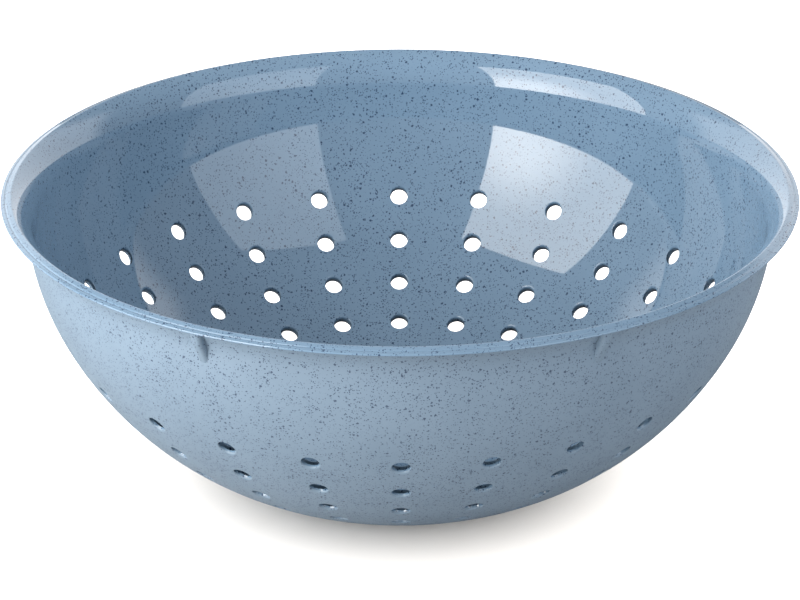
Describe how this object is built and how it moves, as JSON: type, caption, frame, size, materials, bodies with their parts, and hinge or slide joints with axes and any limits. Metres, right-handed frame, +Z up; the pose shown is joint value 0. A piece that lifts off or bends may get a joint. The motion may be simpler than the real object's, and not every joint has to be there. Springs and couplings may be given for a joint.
{
  "type": "colander",
  "caption": "Round one-piece moulded bowl colander with rings of drain holes, a flared rim with a thin lip, and small lugs under the lip.",
  "frame": {"origin": "on the bowl's axis, at the plane that the base stands on", "axes": "+Z up the bowl's axis towards the open rim; -Y is the front, with a column of holes and no lug on it"},
  "size_m": [0.28, 0.28, 0.1063],
  "materials": {
    "speckled_moulding": "fibre-filled polypropylene, blue with fine dark fibre specks, glossy inside and satin outside"
  },
  "bodies": {
    "root": {"base_floor": "speckled_moulding", "perforated_wall": "speckled_moulding", "upper_wall": "speckled_moulding", "rim_flare": "speckled_moulding", "rim_lip": "speckled_moulding", "rim_lug_1": "speckled_moulding", "rim_lug_2": "speckled_moulding", "rim_lug_3": "speckled_moulding", "rim_lug_4": "speckled_moulding", "rim_lug_5": "speckled_moulding", "rim_lug_6": "speckled_moulding"}
  },
  "joints": []
}
